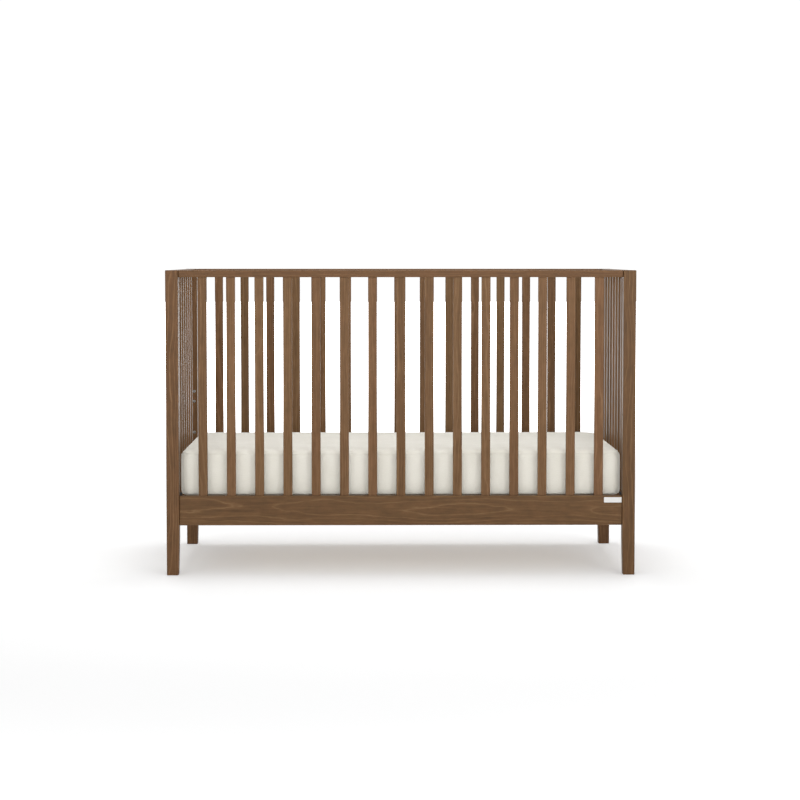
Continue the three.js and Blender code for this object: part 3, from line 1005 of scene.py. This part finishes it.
def coverSeams(cover):
    # piping round the top edge and a joining seam down each corner, lying on the swelled cover
    s = mattressShape
    low, high = (np.array(c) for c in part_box("mattress"))
    tree = BVHTree.FromObject(cover, bpy.context.evaluated_depsgraph_get())
    middle, half = (low + high) / 2, (high - low) / 2
    r = s["corner"]
    angle, quarter = roundedCorners(12)
    outward = np.stack([np.cos(angle), np.sin(angle)], axis=1)
    loop = np.concatenate([middle[:2] + quarter * (half[:2] - r) + r * outward, outward], axis=1)
    after = np.roll(loop, -1, axis=0)
    count = np.maximum(1, (np.linalg.norm((after - loop)[:, :2], axis=1) / 0.02).astype(int))
    dense = np.concatenate([a + (b - a) * np.linspace(0, 1, n, endpoint=False)[:, None]
                            for a, b, n in zip(loop, after, count)])
    out = dense[:, 2:] / np.linalg.norm(dense[:, 2:], axis=1, keepdims=True)
    level = np.ones((len(dense), 1))
    starts = np.concatenate([dense[:, :2] + 0.03 * out, (high[2] + 0.022) * level], axis=1)
    ways = np.concatenate([-out, -level], axis=1) / math.sqrt(2)
    edge = onCover(tree, starts, ways)
    parts = [tube(edge, s["piping"], True)]
    heights = np.linspace(low[2] + 0.012, high[2] - 0.014, 16)
    for qx, qy in ((1, 1), (-1, 1), (-1, -1), (1, -1)):
        out = np.array([qx, qy]) / math.sqrt(2)
        base = middle[:2] + np.array([qx, qy]) * half[:2]
        starts = np.array([[*(base + 0.03 * out), z] for z in heights])
        ways = np.tile([*(-out), 0.0], (len(heights), 1))
        parts.append(tube(onCover(tree, starts, ways), 0.6 * s["piping"], False))
    seams = meshPiece("mattress_seams", *joinParts(parts))
    return finish(seams, "mattress", cream)


def mattressPiece():
    piece = meshPiece("mattress_cover", *mattressStart())
    swellCover(piece)
    settleCover(piece)
    fine = piece.modifiers.new("fine", "SUBSURF")
    fine.levels = 1
    fine.render_levels = 1
    piece.data.polygons.foreach_set("use_smooth", np.ones(len(piece.data.polygons), bool))
    coverSeams(piece)
    return finish(piece, "mattress", cream, ["mattress"])


mattressPiece()
print("mattress made")


# Studio: pale floor, white surround and soft light

studio = {
    "floor": (0.785, 0.79, 0.797),
    "glowNear": 0.27,
    "glowFar": 3.2,
    "glowFrom": 2.0,  # metres from the crib's middle where the brighter floor begins
    "glowTo": 10.0,
    "sky": 0.26,
    "skyFront": 2.1,
    "key": 30,
    "skyBack": 0.9,
    "overhead": 58,
    "camera": (-0.0821, -7.1, 0.9575),
    "lens": 101.24,
    "yaw": 0.675,
    "pitch": -3.665,
}


def floorPiece():
    # a pale sheet that is lit from within away from the crib, as a white sweep is in a studio
    size = 40
    sheet = [(-size, -size, 0), (size, -size, 0), (size, size, 0), (-size, size, 0)]
    piece = meshPiece("studio_floor", sheet, [(0, 1, 2, 3)])
    material, tree, shader = nodeTree("pale_floor")
    place = objectSpace(tree)
    mottle = noise(tree, place, 3, 2, 0.5)
    pale = tuple(c - 0.01 for c in studio["floor"])
    colour = mixColour(tree, "MIX", mottle, pale, studio["floor"])
    tree.links.new(colour, shader.inputs["Base Color"])
    shader.inputs["Roughness"].default_value = 0.9
    shader.inputs["Specular IOR Level"].default_value = 0.0
    shader.inputs["Emission Color"].default_value = (1, 1, 1, 1)
    away = tree.nodes.new("ShaderNodeVectorMath")
    away.operation = "LENGTH"
    tree.links.new(place, away.inputs[0])
    spread = add(tree, "ShaderNodeMapRange", interpolation_type="SMOOTHSTEP")
    tree.links.new(away.outputs["Value"], spread.inputs["Value"])
    limits = (studio["glowFrom"], studio["glowTo"], studio["glowNear"], studio["glowFar"])
    for key, value in zip(("From Min", "From Max", "To Min", "To Max"), limits):
        spread.inputs[key].default_value = value
    tree.links.new(spread.outputs["Result"], shader.inputs["Emission Strength"])
    piece.data.materials.append(material)


def surround():
    # seen directly the surround is white; as a light it is brighter in front and behind
    world = bpy.data.worlds.new("studio")
    scene.world = world
    world.use_nodes = True
    tree = world.node_tree
    tree.nodes.clear()
    way = tree.nodes.new("ShaderNodeSeparateXYZ")
    tree.links.new(tree.nodes.new("ShaderNodeTexCoord").outputs["Generated"], way.inputs[0])
    ahead = calc(tree, "MAXIMUM", calc(tree, "MULTIPLY", way.outputs[1], -1), 0.0)
    ahead = calc(tree, "POWER", ahead, 2)
    behind = calc(tree, "POWER", calc(tree, "MAXIMUM", way.outputs[1], 0.0), 2)
    level = calc(tree, "ADD", calc(tree, "MULTIPLY", ahead, studio["skyFront"]), studio["sky"])
    level = calc(tree, "ADD", level, calc(tree, "MULTIPLY", behind, studio["skyBack"]))
    seen = add(tree, "ShaderNodeLightPath").outputs["Is Camera Ray"]
    light = add(tree, "ShaderNodeBackground", Color=(1.0, 0.995, 0.985, 1))
    tree.links.new(level, light.inputs["Strength"])
    white = add(tree, "ShaderNodeBackground", Color=(1, 1, 1, 1), Strength=1.05)
    mixed = add(tree, "ShaderNodeMixShader")
    tree.links.new(seen, mixed.inputs[0])
    tree.links.new(light.outputs[0], mixed.inputs[1])
    tree.links.new(white.outputs[0], mixed.inputs[2])
    tree.links.new(mixed.outputs[0], add(tree, "ShaderNodeOutputWorld").inputs[0])


def softLight(name, place, target, size, power):
    lamp = bpy.data.lights.new(name, "AREA")
    lamp.shape = "RECTANGLE"
    lamp.size, lamp.size_y = size
    lamp.energy = power
    holder = bpy.data.objects.new(name, lamp)
    scene.collection.objects.link(holder)
    holder.location = place
    aim = np.array(target, float) - np.array(place, float)
    holder.rotation_euler = Vector(aim).to_track_quat("-Z", "Y").to_euler()


def camera():
    lens = bpy.data.cameras.new("camera")
    lens.lens = studio["lens"]
    lens.sensor_width = 36
    holder = bpy.data.objects.new("camera", lens)
    scene.collection.objects.link(holder)
    holder.location = studio["camera"]
    holder.rotation_euler = (math.radians(90 + studio["pitch"]), 0, math.radians(-studio["yaw"]))
    scene.camera = holder


floorPiece()
surround()
softLight("overhead", (0, 0.55, 2.9), (0, 0.3, 0), (2.6, 2.6), studio["overhead"])
softLight("key", (2.4, -5.0, 2.1), (0, 0, 0.5), (1.3, 1.3), studio["key"])
camera()
scene.view_settings.view_transform = "Standard"
scene.view_settings.look = "None"

print("crib finished")
